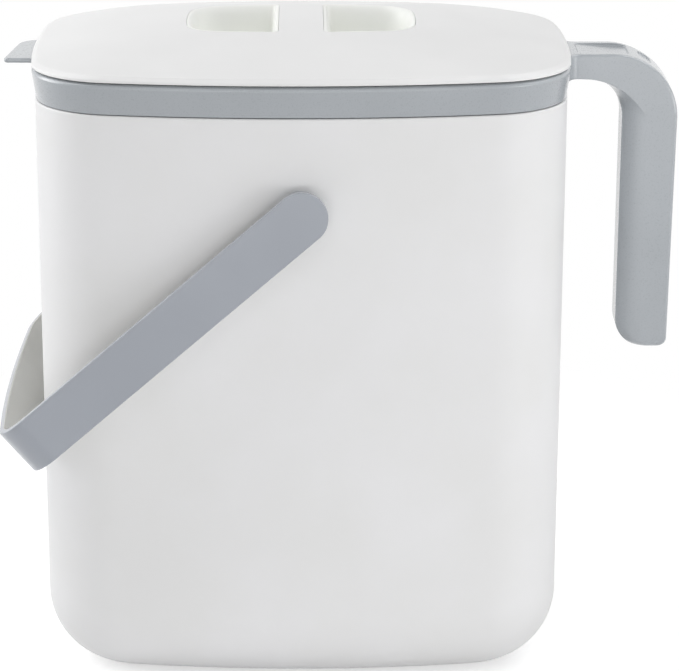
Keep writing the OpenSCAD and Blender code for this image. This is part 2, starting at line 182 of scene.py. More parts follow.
def moulded_plastic(name, colour, cloud_colour, roughness, grain, grain_depth, shine_spread=0.05,
                    ior=1.49, skin=0):
    """Moulded plastic: soft clouds where the melt flowed, the tool's grain in millimetres, and how
    much of a polished skin lies over it."""
    material = bpy.data.materials.new(name)
    material.use_nodes = True
    tree = material.node_tree
    shader = tree.nodes["Principled BSDF"]
    place = add_node(tree, "ShaderNodeTexCoord").outputs["Object"]
    clouds = add_node(tree, "ShaderNodeTexNoise",
                      {"Vector": place, "Scale": 1 / (flow_cloud * MM), "Detail": 3, "Roughness": 0.45})
    tone = add_node(tree, "ShaderNodeMapRange",
                    {"Value": clouds.outputs["Fac"], "From Min": 0.35, "From Max": 0.65})
    mix = add_node(tree, "ShaderNodeMix", {"Factor": tone.outputs["Result"]}, data_type="RGBA")
    mix.inputs["A"].default_value = linear(colour)
    mix.inputs["B"].default_value = linear(cloud_colour)
    tree.links.new(mix.outputs["Result"], shader.inputs["Base Color"])
    specks = add_node(tree, "ShaderNodeTexNoise",
                      {"Vector": place, "Scale": 1 / (grain * MM), "Detail": 2, "Roughness": 0.6})
    shine = add_node(tree, "ShaderNodeMapRange",
                     {"Value": specks.outputs["Fac"], "From Min": 0.3, "From Max": 0.7,
                      "To Min": roughness - shine_spread, "To Max": roughness + shine_spread})
    tree.links.new(shine.outputs["Result"], shader.inputs["Roughness"])
    bump = add_node(tree, "ShaderNodeBump",
                    {"Height": specks.outputs["Fac"], "Strength": 0.5, "Distance": grain_depth * MM})
    tree.links.new(bump.outputs["Normal"], shader.inputs["Normal"])
    shader.inputs["IOR"].default_value = ior
    shader.inputs["Coat Weight"].default_value = skin
    shader.inputs["Coat Roughness"].default_value = skin_roughness
    return material


# Polypropylene off a spark-eroded tool: the eye sees an even, matt white with a faint tooth. The
# real grain is about 0.2 mm, too fine for the render, so it is drawn at 0.7 mm.
matt_white_polypropylene = moulded_plastic("matt_white_polypropylene", "#e9e9ea", "#e6e6e6",
                                           0.5, 0.7, 0.012)

wall_inside = foot_rings(bucket_wall, bucket_draft, bucket_wall, foot_radius - bucket_wall)
bucket_edge = arc((rim_edge, bucket_rim - rim_edge), rim_edge, 180, 90, 6)
bucket_lip = arc((bucket_wall - lip_edge, bucket_rim - lip_edge), lip_edge, 90, 0, 3)
outer_bucket = moulding("outer_bucket_shell", *join_rings(
    foot_rings(0, bucket_draft, 0, foot_radius) + profile_rings(bucket_edge + bucket_lip)
    + list(reversed(wall_inside))), matt_white_polypropylene)


def combine(obj, tool, operation):
    """Cuts a tool from an object or joins it on, and removes the tool."""
    change = obj.modifiers.new(operation, "BOOLEAN")
    change.object, change.operation, change.solver = tool, operation, "EXACT"
    settle(obj)
    bpy.data.objects.remove(tool)


def rod(name, radius, y_from, y_to, x, z, material, sides=48):
    """A round bar along Y."""
    loop = arc((x, z), radius, 0, 360 * (sides - 1) / sides, sides - 1)
    points = [(px, y, pz) for y in (y_to, y_from) for px, pz in loop]
    faces = [(j, (j + 1) % sides, sides + (j + 1) % sides, sides + j) for j in range(sides)]
    faces += [tuple(reversed(range(sides))), tuple(range(sides, 2 * sides))]
    return moulding(name, points, faces, material)


pivot_z = frame["joints"][0]["pos_m"][2] / MM
bush_hole = 6.05
hole_reach = half_depth + 9
combine(outer_bucket, rod("bush_holes", bush_hole, -hole_reach, hole_reach, 0, pivot_z,
                          matt_white_polypropylene), "DIFFERENCE")
smooth(outer_bucket)
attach(outer_bucket, "bucket")
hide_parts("outer_bucket")

# Pivot fittings
# Two flanged bushes pressed through the walls, two headed pins that carry the strap and two rings
# pushed onto the pins inside. All are turned or moulded acetal. The solids show them as they are.

# Acetal is dense and a little waxy: slightly glossier than the bucket, almost without grain.
grey_acetal = moulded_plastic("grey_acetal", "#a4a9b0", "#9fa4ab", 0.34, 0.5, 0.004, 0.03, 1.48)
white_acetal = moulded_plastic("white_acetal", "#e8e8e4", "#e4e4e0", 0.34, 0.5, 0.004, 0.03, 1.48)
for side in ("front", "rear"):
    for fitting, acetal in (("pivot_bush", grey_acetal), ("pivot_pin", grey_acetal),
                            ("pivot_retainer", white_acetal)):
        solid = frame["nodes"][side + "_" + fitting]
        solid.data.materials.clear()
        solid.data.materials.append(acetal)

# Inner bucket
# The part that holds the scraps: thinner polypropylene with a flange that hangs on the frame's
# ledge. Its tool is polished so that it rinses clean, which makes it shinier than the outside.
inner_low, inner_high = (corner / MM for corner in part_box("inner_bucket"))
ledge_inset = 9.5
inner_inset = 10
inner_wall = 1.8
inner_draft = 2
flange_inset = 4
flange_thickness = 2
flange_fillet = 1
flange_low_edge, flange_high_edge, flange_bore_edge = 0.4, 0.6, 0.9
inner_foot = foot_radius - bucket_wall - 6
ledge_z = inner_high.z - flange_thickness

# Polypropylene off a polished tool: satin, so the walls carry soft reflections.
satin_white_polypropylene = moulded_plastic("satin_white_polypropylene", "#ecece8", "#e7e7e3",
                                            0.3, 0.9, 0.004)

inner_bucket = moulding("inner_bucket_shell", *join_rings(
    foot_rings(inner_inset, inner_draft, inner_low.z, inner_foot)
    + profile_rings(arc((inner_inset - flange_fillet, ledge_z - flange_fillet),
                        flange_fillet, 0, 90, 4)
                    + arc((flange_inset + flange_low_edge, ledge_z + flange_low_edge),
                          flange_low_edge, 270, 180, 3)
                    + arc((flange_inset + flange_high_edge, inner_high.z - flange_high_edge),
                          flange_high_edge, 180, 90, 4)
                    + arc((inner_inset + inner_wall - flange_bore_edge,
                           inner_high.z - flange_bore_edge), flange_bore_edge, 90, 0, 5))
    + list(reversed(foot_rings(inner_inset + inner_wall, inner_draft, inner_low.z + inner_wall,
                               inner_foot - inner_wall)))), satin_white_polypropylene)
smooth(inner_bucket)
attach(inner_bucket, "inner")
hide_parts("inner_bucket")

# Rim frame
# Grey polypropylene in one moulding: the collar that sits on the bucket's rim, the thumb tab on
# the left, and the arm and grip on the right. The arm is cored from above to keep its walls even.
frame_low, frame_high = (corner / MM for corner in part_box("rim_frame"))
collar_top = frame_high.z
collar_height = 12.7
collar_z = collar_top - collar_height
flare = 1.2
collar_inset = 0.5
collar_round = 1.8
collar_bore = 3.5
collar_low_edge, bore_edge, skirt_edge = 0.3, 0.4, 0.6
skirt_outer, skirt_inner, skirt_depth = 3, 5.2, 8
skirt_z = collar_z - skirt_depth

# The frame's tool is polished more than the bucket's: a satin grey with a slightly cold tone, whose
# skin mirrors the lamps softly along the rounded edges.
satin_grey_polypropylene = moulded_plastic("satin_grey_polypropylene", "#a6abb0", "#a2a7ac",
                                           0.3, 0.6, 0.003, skin=1)

rim_frame = moulding("rim_frame_body", *join_rings(profile_rings(
    arc((collar_inset + collar_low_edge, collar_z + collar_low_edge), collar_low_edge, 270, 180, 3)
    + arc((collar_round - flare, collar_top - collar_round), collar_round, 180, 90, 9)
    + arc((collar_bore - bore_edge, collar_top - bore_edge), bore_edge, 90, 0, 4)
    + [(collar_bore, ledge_z)]
    + arc((ledge_inset - bore_edge, ledge_z - bore_edge), bore_edge, 90, 0, 3)
    + arc((ledge_inset - bore_edge, collar_z + bore_edge), bore_edge, 0, -90, 3)
    + [(skirt_inner, collar_z)]
    + arc((skirt_inner - bore_edge, skirt_z + bore_edge), bore_edge, 0, -90, 3)
    + arc((skirt_outer + skirt_edge, skirt_z + skirt_edge), skirt_edge, 270, 180, 4)
    + [(skirt_outer, collar_z)]), closed=True), satin_grey_polypropylene)

# The arm and the grip are swept. Each station has a point on the finger side and one on the outside.
# The near finger-side edge is an arc that starts across the finger face and ends on the front face,
# where it leaves a crease that runs out round the bend.
grip_half = 14
grip_thickness = 22.8
grip_bend = 27
palm_radius = 16
arm_height = 10.8
grip_lean, grip_taper = 0.8, 2
grip_edge, outer_edge, far_edge = 10, 1.4, 6
arm_setback = 0.4
crease_round = 0.5
edge_depth, edge_tilt = 4.3, 44
strip_turn = 40
root_fillet = 4
end_inner, end_outer, end_round = 11.5, 4, 2.5
grip_out_x = frame_high.x
grip_x = grip_out_x - grip_thickness
grip_end = frame_low.z
bend_x, bend_z = grip_out_x - grip_bend, collar_top - grip_bend
arm_low = collar_top - arm_height
palm_x, palm_z = grip_x - palm_radius, arm_low - palm_radius
root_x = half_width - collar_bore + 1
root_fillet_x = half_width + flare - 0.2
edge_share, back_share = 0.46, 0.4
root_steps, bend_steps, grip_end_steps, section_steps, crease_steps = 8, 36, 12, 8, 3


def corner_pull(height, radius):
    """How far a rounded end is drawn in at a height above it."""
    return 0 if height >= radius else radius - sqrt(radius ** 2 - (radius - height) ** 2)


def handle_stations():
    """Each has its inner point, its outer point, the near edge's setback, depth and tilt, the far
    edge on each side, and half the width."""
    plain = (arm_setback, grip_edge, 0, arm_setback * 2, outer_edge)
    stations = [((root_x, arm_low), (root_x, collar_top), *plain, grip_half + root_fillet)]
    for i in range(root_steps + 1):
        turn = pi / 2 * i / root_steps
        x = root_fillet_x + root_fillet * (1 - cos(turn))
        stations.append(((x, arm_low), (x, collar_top), *plain,
                         grip_half + root_fillet * (1 - sin(turn))))
    for i in range(bend_steps + 1):
        turn = 90 * (1 - i / bend_steps)
        out, up = cos(radians(turn)), sin(radians(turn))
        eased = 1 - turn / 90
        late = max(0, 1 - turn / strip_turn)
        late *= late * (3 - 2 * late)
        stations.append(((palm_x + palm_radius * out, palm_z + palm_radius * up),
                         (bend_x + grip_bend * out, bend_z + grip_bend * up),
                         arm_setback + (grip_edge - arm_setback) * eased ** 2,
                         grip_edge + (edge_depth - grip_edge) * late, edge_tilt * late,
                         2 * arm_setback + (grip_edge - 2 * arm_setback) * eased,
                         outer_edge + (far_edge - outer_edge) * min(1, 3 * eased), grip_half))
    length = palm_z - grip_end
    for i in range(grip_end_steps + 1):
        height = end_inner * (1 - sin(pi / 2 * i / grip_end_steps))
        drop = 1 - height / length
        inner = corner_pull(height, end_inner) - grip_lean * drop
        outer = corner_pull(height, end_outer) + grip_taper * drop
        share = min(1, edge_share * (grip_thickness - outer - inner) / grip_edge)
        stations.append(((grip_x + inner, grip_end + height), (grip_out_x - outer, grip_end + height),
                         grip_edge * share, edge_depth * share, edge_tilt, grip_edge * share,
                         far_edge * share, grip_half - corner_pull(height, end_round)))
    return stations


def near_edge(setback, depth, tilt, half):
    """The arc over the near finger-side edge, and the small round where it meets the front face."""
    tip = 2 * degrees(atan2(setback, depth)) - tilt
    radius = hypot(setback, depth) / 2 / sin(radians(tip - tilt) / 2)
    x, y = radius * cos(radians(tilt)), depth - half + radius * sin(radians(tilt))
    fillet_y = crease_round - half
    fillet_x = x - sqrt((radius - crease_round) ** 2 - (y - fillet_y) ** 2)
    meet = degrees(atan2(y - fillet_y, x - fillet_x))
    return (arc((x, y), radius, 180 + tilt, 180 + meet, section_steps)
            + arc((fillet_x, fillet_y), crease_round, 180 + meet, 270, crease_steps, 1))


def swept_handle(name, material):
    """The arm and grip: the section at each station, joined along them and capped."""
    points = []
    for inner, outer, setback, depth, tilt, far, far_outer, half in handle_stations():
        thickness = hypot(outer[0] - inner[0], outer[1] - inner[1])
        ux, uz = (outer[0] - inner[0]) / thickness, (outer[1] - inner[1]) / thickness
        back = min(outer_edge, back_share * thickness)
        section = near_edge(setback, depth, tilt, half)
        section += arc((thickness - back, back - half), back, 270, 360, section_steps)
        section += arc((thickness - far_outer, half - far_outer), far_outer, 0, 90, section_steps)
        section += arc((far, half - far), far, 90, 180, section_steps)
        points += [(inner[0] + ux * t, y, inner[1] + uz * t) for t, y in section]
    count = 4 * (section_steps + 1) + crease_steps
    faces = [(low + j, low + count + j, low + count + (j + 1) % count, low + (j + 1) % count)
             for low in range(0, len(points) - count, count) for j in range(count)]
    faces += [tuple(range(count)), tuple(reversed(range(len(points) - count, len(points))))]
    return moulding(name, points, faces, material)


# Two shallow pockets follow the arm's outer line: a long one whose floor slopes down from the
# collar, and a small level one in the bend, drawn square to the surface there.
pocket_half, pocket_depth, pocket_start = 9, 0.9, 0.3
pocket_from = half_width + flare + 3.5
pocket_to = bend_x + 6.6
bend_pocket_half, bend_pocket_length, bend_pocket_depth = 5.5, 6, 0.6
bend_pocket_turn = radians(31)
pocket_round, pocket_floor_round, pocket_round_steps = 0.3, 0.8, 6
pocket_corner, pocket_corner_steps = 2, 5
pocket_sink, pocket_draft, pocket_least_wall = 0.02, 0.15, 0.1
cutter_height = 3


def outer_line(s):
    """A point on the arm's outer line at a length from the root."""
    straight = bend_x - root_x
    if s <= straight:
        return root_x + s, collar_top
    turn = (s - straight) / grip_bend
    return bend_x + grip_bend * sin(turn), bend_z + grip_bend * cos(turn)


def pocket_cutter(name, s_from, s_to, across, depth, start_depth, lean, material):
    """A pocket whose mouth is rounded over and whose floor slopes, drawn at an angle from the
    vertical."""
    floor_round = min(pocket_floor_round, depth - pocket_round - pocket_least_wall)
    turns = [pi / 2 * i / pocket_round_steps for i in range(pocket_round_steps + 1)]
    levels = [(-cutter_height, pocket_round)]
    levels += [(pocket_sink + pocket_round * (1 - cos(t)), pocket_round * (1 - sin(t)))
               for t in turns]
    levels += [(depth - floor_round * (1 - sin(t)), -pocket_draft - floor_round * (1 - cos(t)))
               for t in turns]
    middle, half = (s_from + s_to) / 2, (s_to - s_from) / 2
    points = []
    for down, grow in levels:
        a, b, r = half + grow, across + grow, pocket_corner + grow
        loop = []
        for x_side, y_side, start in ((1, 1, 0), (-1, 1, 90), (-1, -1, 180), (1, -1, 270)):
            loop += arc((x_side * (a - r), y_side * (b - r)), r, start, start + 90,
                        pocket_corner_steps)
        for s, y in loop:
            x, z = outer_line(middle + s)
            slope = 1 - (1 - start_depth / depth) * min(max((half - s) / (2 * half), 0), 1)
            drop = down * slope if grow < 0 else down
            points.append((x - drop * sin(lean), y, z - drop * cos(lean)))
    faces = skin_faces(len(points) // len(levels), len(levels))
    return moulding(name, points, [tuple(reversed(face)) for face in faces], material)


handle = swept_handle("handle", satin_grey_polypropylene)
bend_pocket = bend_x - root_x + bend_pocket_turn * grip_bend
for name, s_from, s_to, across, depth, start_depth, lean in (
        ("arm_pocket", pocket_from - root_x, pocket_to - root_x, pocket_half, pocket_depth,
         pocket_start, 0),
        ("bend_pocket", bend_pocket - bend_pocket_length / 2, bend_pocket + bend_pocket_length / 2,
         bend_pocket_half, bend_pocket_depth, bend_pocket_depth, bend_pocket_turn)):
    combine(handle, pocket_cutter(name, s_from, s_to, across, depth, start_depth, lean,
                                  satin_grey_polypropylene), "DIFFERENCE")

# Thumb tab: a thin plate with a straight near edge and a round far corner.
tab_half = 19
tab_thickness = 2
tab_slant = 3.5
tab_tip = frame_low.x
tab_far = tab_half / 2
tab_near = 2
tab_edge = 0.7
tab_end_turn = 176


def plate(name, outline, low, high, edge, material):
    """A flat plate whose edges are all rounded by a bevel."""
    count = len(outline)
    points = [(x, y, z) for z in (low, high) for x, y in outline]
    faces = [tuple(reversed(range(count))), tuple(range(count, 2 * count))]
    faces += [(j, (j + 1) % count, count + (j + 1) % count, count + j) for j in range(count)]
    obj = moulding(name, points, faces, material)
    bevel = obj.modifiers.new("edges", "BEVEL")
    bevel.width, bevel.segments, bevel.limit_method = edge * MM, 5, "ANGLE"
    bevel.angle_limit = radians(40)
    settle(obj)
    return obj


tab_outline = [(-root_x, -tab_half), (-root_x, tab_half)]
tab_outline += arc((tab_tip + tab_slant + tab_far, tab_half - tab_far), tab_far,
                   90, tab_end_turn, 16)
tab_outline += arc((tab_tip + tab_near, tab_near - tab_half), tab_near, tab_end_turn, 270, 8)
thumb_tab = plate("thumb_tab", tab_outline, collar_top - tab_thickness, collar_top, tab_edge,
                  satin_grey_polypropylene)
combine(rim_frame, handle, "UNION")
combine(rim_frame, thumb_tab, "UNION")
smooth(rim_frame)
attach(rim_frame, "inner")
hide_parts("rim_frame")

# Carrying bail
# A flat strap of grey polypropylene, bent round three sides of the bucket and rounded at its ends.
# It swings on the two pins, which are let into its inner faces, and rests against the left wall.
strap_width = 21.5
strap_thickness = 3
strap_edge = 0.7
strap_gap = 7
bail_length = 158
bail_corner = 14
bail_bow = 4.2
rest_drop = 0.65
lift_gap = 0.3
strap_middle = half_depth + strap_gap + strap_thickness / 2
strap_end_steps, strap_arm_steps, strap_corner_steps, strap_far_steps = 16, 12, 16, 24


def bail_path():
    """The strap's middle line in its own plane, from the front pivot round to the rear one."""
    half = strap_middle
    length, corner = bail_length - strap_thickness / 2, bail_corner - strap_thickness / 2
    far = bow_radius(half, bail_bow)
    far_x = length - far
    corner_x = far_x + sqrt((far - corner) ** 2 - (half - corner) ** 2)
    turn = degrees(atan2(corner - half, corner_x - far_x))
    arm = [(-strap_width / 2 * cos(pi / 2 * i / strap_end_steps), -half)
           for i in range(strap_end_steps + 1)]
    arm += [(corner_x * i / strap_arm_steps, -half) for i in range(1, strap_arm_steps)]
    front = (arm + arc((corner_x, corner - half), corner, -90, turn, strap_corner_steps)
             + arc((far_x, 0), far, turn, 0, strap_far_steps, 1))
    return front + [(x, -y) for x, y in reversed(front[:-1])]


strap_tip_share = 0.0004


def worked_out(tree, operation, *values):
    """The output of a sum on values or other nodes' outputs."""
    return add_node(tree, "ShaderNodeMath", dict(enumerate(values)), operation=operation).outputs[0]


def strap_tree():
    """Geometry Nodes that sweep the strap's section along a line and round its two ends."""
    tree = bpy.data.node_groups.new("strap", "GeometryNodeTree")
    tree.interface.new_socket("Geometry", in_out="INPUT", socket_type="NodeSocketGeometry")
    for label in ("Width", "Thickness", "Edge"):
        tree.interface.new_socket(label, in_out="INPUT", socket_type="NodeSocketFloat")
    tree.interface.new_socket("Material", in_out="INPUT", socket_type="NodeSocketMaterial")
    tree.interface.new_socket("Geometry", in_out="OUTPUT", socket_type="NodeSocketGeometry")
    given = add_node(tree, "NodeGroupInput").outputs
    line = add_node(tree, "GeometryNodeMeshToCurve", {"Mesh": given["Geometry"]})
    section = add_node(tree, "GeometryNodeCurvePrimitiveQuadrilateral",
                       {"Width": given["Thickness"], "Height": given["Width"]})
    rounded = add_node(tree, "GeometryNodeFilletCurve",
                       {"Curve": section.outputs["Curve"], "Radius": given["Edge"], "Count": 5},
                       mode="POLY")
    strap = add_node(tree, "GeometryNodeCurveToMesh",
                     {"Curve": line.outputs["Curve"], "Profile Curve": rounded.outputs["Curve"],
                      "Fill Caps": True})
    place = add_node(tree, "GeometryNodeInputPosition")
    parts = add_node(tree, "ShaderNodeSeparateXYZ", {"Vector": place.outputs["Position"]}).outputs
    radius = worked_out(tree, "MULTIPLY", given["Width"], 0.5)
    share = worked_out(tree, "DIVIDE", worked_out(tree, "MINIMUM", parts["X"], 0.0), radius)
    left = worked_out(tree, "SUBTRACT", 1.0, worked_out(tree, "MULTIPLY", share, share))
    root = worked_out(tree, "SQRT", worked_out(tree, "MAXIMUM", left, strap_tip_share))
    height = worked_out(tree, "MULTIPLY", parts["Z"], root)
    moved = add_node(tree, "ShaderNodeCombineXYZ", {"X": parts["X"], "Y": parts["Y"], "Z": height})
    ends = add_node(tree, "GeometryNodeSetPosition",
                    {"Geometry": strap.outputs["Mesh"], "Position": moved.outputs["Vector"]})
    plain = add_node(tree, "GeometryNodeRealizeInstances", {"Geometry": ends.outputs["Geometry"]})
    coated = add_node(tree, "GeometryNodeSetMaterial",
                      {"Geometry": plain.outputs["Geometry"], "Material": given["Material"]})
    add_node(tree, "NodeGroupOutput", {"Geometry": coated.outputs["Geometry"]})
    return tree


# The bail's grey is a touch colder and duller than the frame's, under the same polished skin: its
# face is even, and its edges and what is seen at a slant catch the light.
cold_grey_polypropylene = moulded_plastic("cold_grey_polypropylene", "#9a9fa8", "#969ba4",
                                          0.4, 0.6, 0.005, skin=1)

line_points = [(x, y, 0) for x, y in bail_path()]
bail = moulding("bail_strap", line_points, [], cold_grey_polypropylene,
                [(i, i + 1) for i in range(len(line_points) - 1)])
sweep = bail.modifiers.new("strap", "NODES")
sweep.node_group = strap_tree()
sizes = {"Width": strap_width * MM, "Thickness": strap_thickness * MM, "Edge": strap_edge * MM,
         "Material": cold_grey_polypropylene}
for socket in sweep.node_group.interface.items_tree:
    if socket.in_out == "INPUT" and socket.name in sizes:
        sweep[socket.identifier] = sizes[socket.name]
settle(bail)

# The strap's inner face has painted light: it is paler and warmer than the outside, standing in for the
# light that the bucket's white wall throws onto it. It is also rougher and has no polished skin.
painted_light_inner_grey = moulded_plastic("painted_light_inner_grey", "#cdcdc9", "#c8c8c4",
                                            0.6, 0.6, 0.01)
bail.data.materials.append(painted_light_inner_grey)
# The faces turned towards the bucket take the paler grey, which is painted bounce light.
facing_inwards = 0.3
for face in bail.data.polygons:
    inward = Vector((bail_length / 2 * MM - face.center.x, -face.center.y, 0))
    if face.normal.dot(inward.normalized()) > facing_inwards:
        face.material_index = 1

rest_x = half_width - bucket_draft * (bucket_rim - pivot_z + bail_length * rest_drop) / bucket_rim
rest_x += lift_gap
rest_turn = acos(rest_x / hypot(bail_length - strap_thickness, strap_width / 2))
rest_turn -= atan2(strap_width / 2, bail_length - strap_thickness)
bail.data.transform(Matrix.Translation((0, 0, pivot_z * MM))
                    @ Matrix.Rotation(pi - rest_turn, 4, "Y"))
smooth(bail)
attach(bail, "bail")
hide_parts("bail_handle")

# Lid
# Four pieces that lift off as one: a domed white shell, the cup that makes its two finger wells,
# the plug below and the soft ring round it. The shell and plug are welded, with the cup between.
lid_low, lid_high = (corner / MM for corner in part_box("lid_shell"))
lid_edge_height = 2.4
seam_lift = 0.25
dome_z = lid_low.z + lid_edge_height
dome_height = lid_high.z - dome_z
dome_power = 2.7
lid_wall = 2.2
wells_half_width, wells_half_depth = 46.25, 28
wells_corner = 14
wells_bow, wells_end_bow = 4.5, 2.5
bridge_half = 10.75
bridge_corner, bridge_least_corner = 1.4, 0.3
cup_wall = 1.4
cup_gap = 0.12
seam_round = 0.35
seam_least, seam_start, seam_growth = 0.03, 6, 12
bridge_clear = 2.2
dome_edge = 1 - 1.5 * rim_edge / half_depth
dome_tip, dome_crowding = 0.02, 1.4


def dome_rings(e, z, height, edge, steps=36):
    """Rings of a flat dome over the outline, from its edge to its middle, closer at the edge."""
    shares = [edge - (edge - dome_tip) * (i / steps) ** dome_crowding for i in range(steps + 1)]
    return [([(x * s, y * s) for x, y in drawn_in(e)], z + height * (1 - s ** dome_power))
            for s in shares]


dome_reach = sorted((atan2(y, x), hypot(x, y)) for x, y in drawn_in(-flare))


def dome_level(x, y):
    """Height of the lid's outside at a place."""
    turn = atan2(y, x)
    after = next((i for i, (angle, _) in enumerate(dome_reach) if angle > turn), 0)
    (a, ra), (b, rb) = dome_reach[after - 1], dome_reach[after]
    part = (turn - a) / (b - a) if after else 0
    return dome_z + dome_height * (1 - (hypot(x, y) / (ra + (rb - ra) * part)) ** dome_power)


def level_at(outline, x):
    """How far from the middle the long side of an outline is at x."""
    for (xa, ya), (xb, yb) in zip(outline, outline[1:]):
        if xa <= x <= xb:
            return abs(ya + (yb - ya) * (x - xa) / (xb - xa))
    return abs(outline[0][1])


def well_outline(side, grow):
    """One finger well, grown by a distance, from the bridge round the outer end and back."""
    a, b = wells_half_width + grow, wells_half_depth + grow
    face = bow_radius(wells_half_width, wells_bow) + grow
    whole = bowed_outline(a, b, wells_corner + grow, face,
                          bow_radius(wells_half_depth, wells_end_bow) + grow)
    near = bridge_half - grow
    corner = max(bridge_corner + grow, bridge_least_corner)
    outer = whole[:len(whole) // 2 + 1]
    start = near + corner
    top = level_at(outer, start)
    clear = bridge_half + bridge_corner + bridge_clear
    kept = [(start, -top)] + [point for point in outer if point[0] > clear] + [(start, top)]
    kept += arc((start, top - corner), corner, 90, 180, 6, 1)
    kept += arc((start, corner - top), corner, 180, 270, 6)
    return kept[:-1] if side > 0 else [(-x, y) for x, y in reversed(kept[:-1])]


def well_skin(side, levels):
    """Rings round one well. Each level has how far it is grown and how far below the dome it
    lies."""
    return [[(x, y, dome_level(x, y) - down) for x, y in well_outline(side, grow)]
            for grow, down in levels]


def seam_skin(side, start, turn_out, low, high):
    """Rings of the round edge where shell and cup meet. It is wide at the well's outer end, where
    the parting line shows, and almost sharp along the bridge."""
    plain = well_outline(side, start)
    wide = well_outline(side, start + turn_out * seam_round)
    rings = []
    for t in (pi / 2 * i / 4 for i in range(5)):
        ring = []
        for (x, y), (wx, wy) in zip(plain, wide):
            share = min(max((abs(x) - bridge_half - seam_start) / seam_growth, seam_least), 1)
            out = (1 - cos(t)) * share
            ring.append((x + (wx - x) * out, y + (wy - y) * out,
                         dome_level(x, y) - low - seam_round * (1 - sin(t)) * share))
        rings.append(ring)
    if high:
        rings.append([(x, y, z + high) for x, y, z in rings[-1]])
    return rings


def towards_middle(outline, side, e):
    """A well's outline drawn in by e towards the line along its middle."""
    near, far = bridge_half + wells_corner, wells_half_width - wells_corner
    drawn = []
    for x, y in outline:
        to_middle = Vector((side * min(max(abs(x), near), far) - x, -y))
        drawn.append(tuple(Vector((x, y)) + to_middle.normalized() * e))
    return drawn


def join_well(name, rings, material):
    """A closed skin through rings whose points each have their own height."""
    points = [point for ring in rings for point in ring]
    return moulding(name, points, skin_faces(len(rings[0]), len(rings)), material)


# The shell's tool matches the bucket's, a shade smoother where hands wipe it.
matt_white_lid = moulded_plastic("matt_white_lid_polypropylene", "#eeeeee", "#ebebeb",
                                 0.46, 0.7, 0.01)
shell_low = lid_low.z + seam_lift
shell_low_edge, shell_shoulder, shell_shoulder_z = 0.3, 1.2, dome_z - 1.6
dome_rise = dome_height * (1 - (1 - lid_wall / (half_depth + flare)) ** dome_power)
shell_inside = dome_rings(lid_wall - flare, dome_z + dome_rise - lid_wall,
                          dome_height - dome_rise, 1)
lid_shell = moulding("lid_dome", *join_rings(
    list(reversed(shell_inside))
    + profile_rings([(lid_wall - flare, shell_low)]
                    + arc((shell_low_edge - flare, shell_low + shell_low_edge),
                          shell_low_edge, 270, 180, 3)
                    + [(-flare, shell_shoulder_z)]
                    + arc((shell_shoulder - flare, shell_shoulder_z), shell_shoulder, 180, 128, 5, 1))
    + dome_rings(-flare, dome_z, dome_height, dome_edge)), matt_white_lid)
opening_grow, opening_depth, opening_height, opening_lift = cup_wall + cup_gap, 30, 4, 0.01
for side in (-1, 1):
    opening = well_skin(side, [(opening_grow, opening_depth)])
    opening += seam_skin(side, opening_grow, 1, opening_lift, opening_height)
    combine(lid_shell, join_well("well_opening", opening, matt_white_lid), "DIFFERENCE")
smooth(lid_shell)
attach(lid_shell, "lid")
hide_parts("lid_shell")

# The cup is a separate moulding in a slightly warmer white with a satin finish. Its white is painted
# lighter than the shell's, close to pure white, to make up for the shade inside the wells. Each well
# has a long soft lip, a steep wall and a rounded floor.
painted_light_warm_white = moulded_plastic("satin_warm_white_polypropylene", "#fbfcf9", "#f8f9f5",
                                   0.4, 0.8, 0.006)
cup_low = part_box("lid_well_cup")[0] / MM
cup_floor = 1.8
well_floor = cup_low.z + cup_floor
rim_round = 1.1
rim_below_top = 3.3
lip_run, lip_fall = 4.1, 10
wall_run, wall_fall = 8, lid_high.z - rim_below_top - lip_fall - well_floor
rim_steps, lip_steps, wall_steps = 3, 8, 12
rim_turns = [asin(rim_round / lip_run * i / rim_steps) for i in range(rim_steps + 1)]
lip_turns = [rim_turns[-1] + (pi / 2 - rim_turns[-1]) * i / lip_steps
             for i in range(1, lip_steps + 1)]
wall_turns = [pi / 2 * i / wall_steps for i in range(1, wall_steps + 1)]
cups = []
for side in (-1, 1):
    outline = well_outline(side, 0)
    skin = [[(x, y, cup_low.z) for x, y in well_outline(side, cup_wall)]]
    skin += seam_skin(side, cup_wall, -1, 0, 0)
    skin += well_skin(side, [(rim_round - lip_run * sin(t), lip_fall * (1 - cos(t)))
                             for t in rim_turns])
    for t in lip_turns:
        drawn = towards_middle(outline, side, lip_run * sin(t) - rim_round)
        skin.append([(x, y, dome_level(*edge) - lip_fall * (1 - cos(t)))
                     for (x, y), edge in zip(drawn, outline)])
    for t in wall_turns:
        drawn = towards_middle(outline, side, lip_run - rim_round + wall_run * (1 - cos(t)))
        skin.append([(x, y, well_floor + wall_fall * (1 - sin(t))) for x, y in drawn])
    cups.append(join_well("well_cup", skin, painted_light_warm_white))
well_cup = cups[0]
bridge_reach = wells_half_depth - 2.5
bridge_edge = 0.2
bridge = [(-bridge_half, -bridge_reach), (bridge_half, -bridge_reach),
          (bridge_half, bridge_reach), (-bridge_half, bridge_reach)]
combine(well_cup, cups[1], "UNION")
combine(well_cup, plate("cup_bridge", bridge, cup_low.z, well_floor, bridge_edge, painted_light_warm_white),
        "UNION")
well_cup.name = "finger_well_cup"
smooth(well_cup)
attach(well_cup, "lid")
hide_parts("lid_well_cup")

